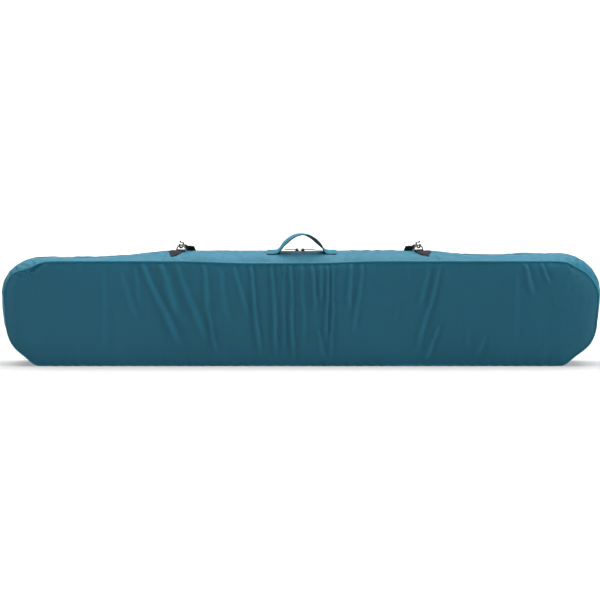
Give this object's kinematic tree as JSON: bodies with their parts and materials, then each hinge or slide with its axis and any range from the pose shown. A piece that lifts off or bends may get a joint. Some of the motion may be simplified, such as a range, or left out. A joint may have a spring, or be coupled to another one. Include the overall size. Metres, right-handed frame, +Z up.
{
  "type": "snowboard bag",
  "caption": "Long padded bag for a snowboard, with a full-length zip, a front that folds down, a grab handle and a clip-on shoulder strap.",
  "frame": {"origin": "middle of the flat base that the bag stands on", "axes": "+X along the bag, the plain back panel faces -Y, +Z up"},
  "size_m": [1.6038, 0.1385, 0.353],
  "materials": {
    "panel_cloth": "coated polyester, semi-gloss",
    "gusset_cloth": "coated polyester, semi-gloss",
    "front_cloth": "coated polyester, semi-gloss",
    "piping_cloth": "bound seam",
    "foam": "closed-cell foam sheet",
    "lining_cloth": "light woven lining",
    "zip_tape": "woven zip tape",
    "zip_coil": "moulded coil",
    "webbing": "woven webbing",
    "handle_cloth": "coated polyester over webbing",
    "zip_metal": "black painted",
    "ring_metal": "dark nickel",
    "hook_plastic": "moulded, satin black"
  },
  "bodies": {
    "root": {"back_panel": "panel_cloth", "back_padding": "foam", "back_lining": "lining_cloth", "back_piping": "piping_cloth", "gusset_top_rear": "gusset_cloth", "gusset_left_rear": "gusset_cloth", "gusset_right_rear": "gusset_cloth", "gusset_bottom": "gusset_cloth", "zip_tape_rear": "zip_tape", "zip_coil_rear": "zip_coil", "zip_ends_rear": "gusset_cloth", "zip_stops": "zip_coil", "handle_foot_left": "handle_cloth", "handle_foot_right": "handle_cloth", "anchor_tab_left": "webbing", "anchor_tab_right": "webbing"},
    "flap": {"front_panel": "front_cloth", "front_padding": "foam", "front_lining": "lining_cloth", "front_piping": "piping_cloth", "gusset_top_front": "gusset_cloth", "gusset_left_front": "gusset_cloth", "gusset_right_front": "gusset_cloth", "zip_tape_front": "zip_tape", "zip_coil_front": "zip_coil", "zip_ends_front": "gusset_cloth", "shoulder_strap": "webbing", "strap_adjuster": "hook_plastic"},
    "handle": {"handle_webbing": "webbing", "handle_cover": "handle_cloth"},
    "slider_left": {"slider_left": "zip_metal"},
    "pull_left": {"pull_left": "zip_metal"},
    "d_ring_left": {"d_ring_left": "ring_metal"},
    "snap_hook_left": {"snap_hook_left": "hook_plastic"},
    "hook_gate_left": {"hook_gate_left": "hook_plastic"},
    "hook_eye_left": {"hook_eye_left": "hook_plastic"},
    "slider_right": {"slider_right": "zip_metal"},
    "pull_right": {"pull_right": "zip_metal"},
    "d_ring_right": {"d_ring_right": "ring_metal"},
    "snap_hook_right": {"snap_hook_right": "hook_plastic"},
    "hook_gate_right": {"hook_gate_right": "hook_plastic"},
    "hook_eye_right": {"hook_eye_right": "hook_plastic"}
  },
  "joints": [
    {"name": "flap_open", "type": "hinge", "parent": "root", "child": "flap", "pos_m": [0, 0.065, 0], "axis": [-1, 0, 0], "range_deg": [0, 88]},
    {"name": "handle_fold", "type": "hinge", "parent": "root", "child": "handle", "pos_m": [0.005, -0.038, 0.3072], "axis": [1, 0, 0], "range_deg": [0, 80]},
    {"name": "slider_left_run", "type": "slide", "parent": "root", "child": "slider_left", "axis": [-1, 0, 0], "range_m": [0, 0.36]},
    {"name": "pull_left_flip", "type": "hinge", "parent": "slider_left", "child": "pull_left", "pos_m": [-0.0075, 0, 0.309], "axis": [0, 1, 0], "range_deg": [0, 85]},
    {"name": "d_ring_left_tilt", "type": "hinge", "parent": "root", "child": "d_ring_left", "pos_m": [-0.319, -0.017, 0.3075], "axis": [0.866, -0.5, 0], "range_deg": [0, 45]},
    {"name": "snap_hook_left_swing", "type": "hinge", "parent": "d_ring_left", "child": "snap_hook_left", "pos_m": [-0.319, -0.017, 0.3218], "axis": [0.866, -0.5, 0], "range_deg": [0, 40]},
    {"name": "hook_gate_left_open", "type": "hinge", "parent": "snap_hook_left", "child": "hook_gate_left", "pos_m": [-0.31355, -0.00756, 0.32754], "axis": [0.866, -0.5, 0], "range_deg": [0, 14], "stiffness_Nm_per_rad": 0.002, "springref_deg": -17.19},
    {"name": "hook_eye_left_swivel", "type": "hinge", "parent": "snap_hook_left", "child": "hook_eye_left", "pos_m": [-0.30588, 0.00573, 0.31811], "axis": [0.4951, 0.8576, -0.1392], "range_deg": [-35, 35]},
    {"name": "slider_right_run", "type": "slide", "parent": "root", "child": "slider_right", "axis": [1, 0, 0], "range_m": [0, 0.36]},
    {"name": "pull_right_flip", "type": "hinge", "parent": "slider_right", "child": "pull_right", "pos_m": [0.0075, 0, 0.309], "axis": [0, -1, 0], "range_deg": [0, 85]},
    {"name": "d_ring_right_tilt", "type": "hinge", "parent": "root", "child": "d_ring_right", "pos_m": [0.319, -0.017, 0.3075], "axis": [0.866, 0.5, 0], "range_deg": [0, 45]},
    {"name": "snap_hook_right_swing", "type": "hinge", "parent": "d_ring_right", "child": "snap_hook_right", "pos_m": [0.319, -0.017, 0.3218], "axis": [0.866, 0.5, 0], "range_deg": [0, 40]},
    {"name": "hook_gate_right_open", "type": "hinge", "parent": "snap_hook_right", "child": "hook_gate_right", "pos_m": [0.31355, -0.00756, 0.32754], "axis": [0.866, 0.5, 0], "range_deg": [0, 14], "stiffness_Nm_per_rad": 0.002, "springref_deg": -17.19},
    {"name": "hook_eye_right_swivel", "type": "hinge", "parent": "snap_hook_right", "child": "hook_eye_right", "pos_m": [0.30588, 0.00573, 0.31811], "axis": [-0.4951, 0.8576, -0.1392], "range_deg": [-35, 35]}
  ]
}
